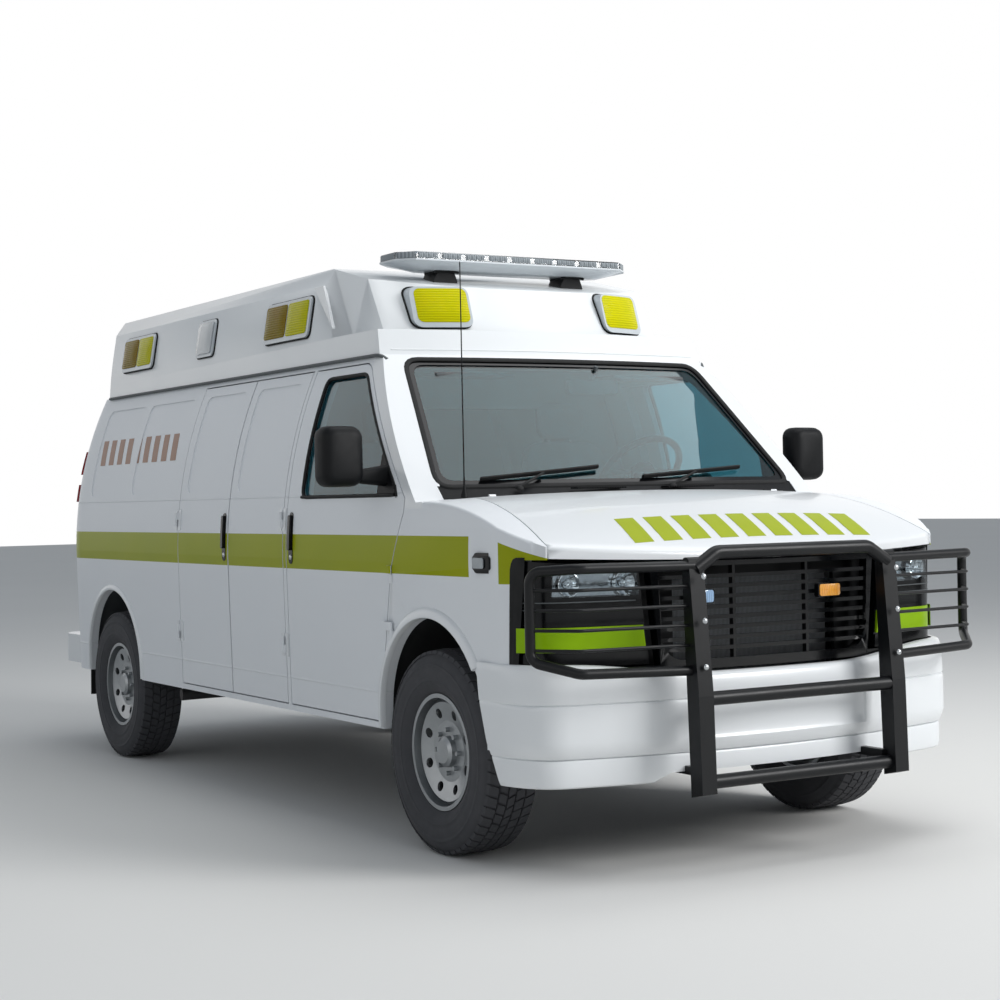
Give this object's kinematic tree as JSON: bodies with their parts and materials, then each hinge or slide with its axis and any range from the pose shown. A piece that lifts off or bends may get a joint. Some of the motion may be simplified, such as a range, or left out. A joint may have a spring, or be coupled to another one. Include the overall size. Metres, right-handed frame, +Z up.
{
  "type": "ambulance",
  "caption": "Van-based ambulance with a raised roof, warning lamps, light bar and brush guard; wheels roll and steer, doors and hood open on hinges",
  "frame": {"origin": "centre of the bounding box, on the ground under the tyres", "axes": "+Z up, -Y points to the front bumper, +X is the driver's side (left of the vehicle)"},
  "size_m": [2.512, 5.5248, 2.4159],
  "materials": {
    "white_paint": "gloss",
    "white_shell": "gloss",
    "black_trim": "matte",
    "black_steel": "satin",
    "clear_glass": "gloss",
    "lamp_lens": "gloss",
    "bar_lens": "gloss",
    "head_lens": "gloss",
    "red_lens": "gloss",
    "wheel_steel": "satin",
    "tyre_rubber": "matte",
    "chassis_black": "satin",
    "cast_parts": "rough",
    "radiator_alloy": "matte",
    "grey_interior": "matte",
    "seat_vinyl": "matte",
    "floor_mat": "matte"
  },
  "bodies": {
    "body": {"body_side_right": "white_paint", "body_side_left": "white_paint", "cab_frame": "white_paint", "fenders": "white_paint", "floor_pan": "floor_mat", "roof_cap": "white_shell", "roof_lamps": "lamp_lens", "light_bar": "bar_lens", "windscreen": "clear_glass", "cowl_panel": "black_trim", "bulkhead": "grey_interior", "dashboard": "grey_interior", "seats": "seat_vinyl", "grille": "black_trim", "headlamps": "head_lens", "radiator_panel": "black_steel", "front_bumper": "white_paint", "brush_guard": "black_steel", "chassis_frame": "chassis_black", "engine": "cast_parts", "radiator": "radiator_alloy", "front_suspension": "cast_parts", "rear_axle": "cast_parts", "driveshaft": "chassis_black", "wheel_liners": "black_trim", "rear_bumper": "white_paint", "tail_lamps": "red_lens", "fender_lamps": "head_lens", "aerial": "black_steel"},
    "knuckle_right": {"knuckle_right": "cast_parts"},
    "front_door_right": {"front_door_right": "white_paint", "front_glass_right": "clear_glass", "mirror_right": "black_trim"},
    "rear_door_right": {"rear_door_right": "white_paint", "rear_glass_right": "clear_glass"},
    "wheel_front_right": {"wheel_front_right": "wheel_steel", "tyre_front_right": "tyre_rubber"},
    "wheel_rear_right": {"wheel_rear_right": "wheel_steel", "tyre_rear_right": "tyre_rubber"},
    "knuckle_left": {"knuckle_left": "cast_parts"},
    "front_door_left": {"front_door_left": "white_paint", "front_glass_left": "clear_glass", "mirror_left": "black_trim"},
    "rear_door_left": {"rear_door_left": "white_paint", "rear_glass_left": "clear_glass"},
    "wheel_front_left": {"wheel_front_left": "wheel_steel", "tyre_front_left": "tyre_rubber"},
    "wheel_rear_left": {"wheel_rear_left": "wheel_steel", "tyre_rear_left": "tyre_rubber"},
    "load_door_front": {"load_door_front": "white_paint"},
    "load_door_rear": {"load_door_rear": "white_paint"},
    "hood": {"hood": "white_paint"},
    "steering_wheel": {"steering_wheel": "black_trim"}
  },
  "joints": [
    {"name": "steer_right", "type": "hinge", "parent": "body", "child": "knuckle_right", "pos_m": [-0.79, -1.7625, 0.388], "axis": [0, 0, 1], "range_deg": [-33, 33]},
    {"name": "steer_left", "type": "hinge", "parent": "body", "child": "knuckle_left", "pos_m": [0.79, -1.7625, 0.388], "axis": [0, 0, 1], "range_deg": [-33, 33]},
    {"name": "roll_front_right", "type": "hinge", "parent": "knuckle_right", "child": "wheel_front_right", "pos_m": [-0.8625, -1.7625, 0.388], "axis": [1, 0, 0], "continuous": true},
    {"name": "roll_rear_right", "type": "hinge", "parent": "body", "child": "wheel_rear_right", "pos_m": [-0.8625, 1.7515, 0.388], "axis": [1, 0, 0], "continuous": true},
    {"name": "front_door_swing_right", "type": "hinge", "parent": "body", "child": "front_door_right", "pos_m": [-1.006, -1.4775, 0.9], "axis": [0, 0, 1], "range_deg": [0, 65]},
    {"name": "rear_door_swing_right", "type": "hinge", "parent": "body", "child": "rear_door_right", "pos_m": [-0.7, 2.6745, 1], "axis": [0, 0, 1], "range_deg": [0, 165]},
    {"name": "roll_front_left", "type": "hinge", "parent": "knuckle_left", "child": "wheel_front_left", "pos_m": [0.8625, -1.7625, 0.388], "axis": [1, 0, 0], "continuous": true},
    {"name": "roll_rear_left", "type": "hinge", "parent": "body", "child": "wheel_rear_left", "pos_m": [0.8625, 1.7515, 0.388], "axis": [1, 0, 0], "continuous": true},
    {"name": "front_door_swing_left", "type": "hinge", "parent": "body", "child": "front_door_left", "pos_m": [1.006, -1.4775, 0.9], "axis": [0, 0, -1], "range_deg": [0, 65]},
    {"name": "rear_door_swing_left", "type": "hinge", "parent": "body", "child": "rear_door_left", "pos_m": [0.7, 2.6745, 1], "axis": [0, 0, -1], "range_deg": [0, 165]},
    {"name": "load_door_swing_front", "type": "hinge", "parent": "body", "child": "load_door_front", "pos_m": [-1.006, -0.4635, 1], "axis": [0, 0, 1], "range_deg": [0, 90]},
    {"name": "load_door_swing_rear", "type": "hinge", "parent": "body", "child": "load_door_rear", "pos_m": [-1.006, 0.7725, 1], "axis": [0, 0, -1], "range_deg": [0, 90]},
    {"name": "hood_lift", "type": "hinge", "parent": "body", "child": "hood", "pos_m": [0, -1.7415, 1.352], "axis": [-1, 0, 0], "range_deg": [0, 50]},
    {"name": "steering_wheel_turn", "type": "hinge", "parent": "body", "child": "steering_wheel", "pos_m": [0.409, -1.1725, 1.445], "axis": [0, 0.7431, 0.6691], "range_deg": [-540, 540]}
  ],
  "couplings": [
    {"joint": "steer_left", "follows": "steer_right", "ratio": 1},
    {"joint": "steering_wheel_turn", "follows": "steer_right", "ratio": 16}
  ]
}
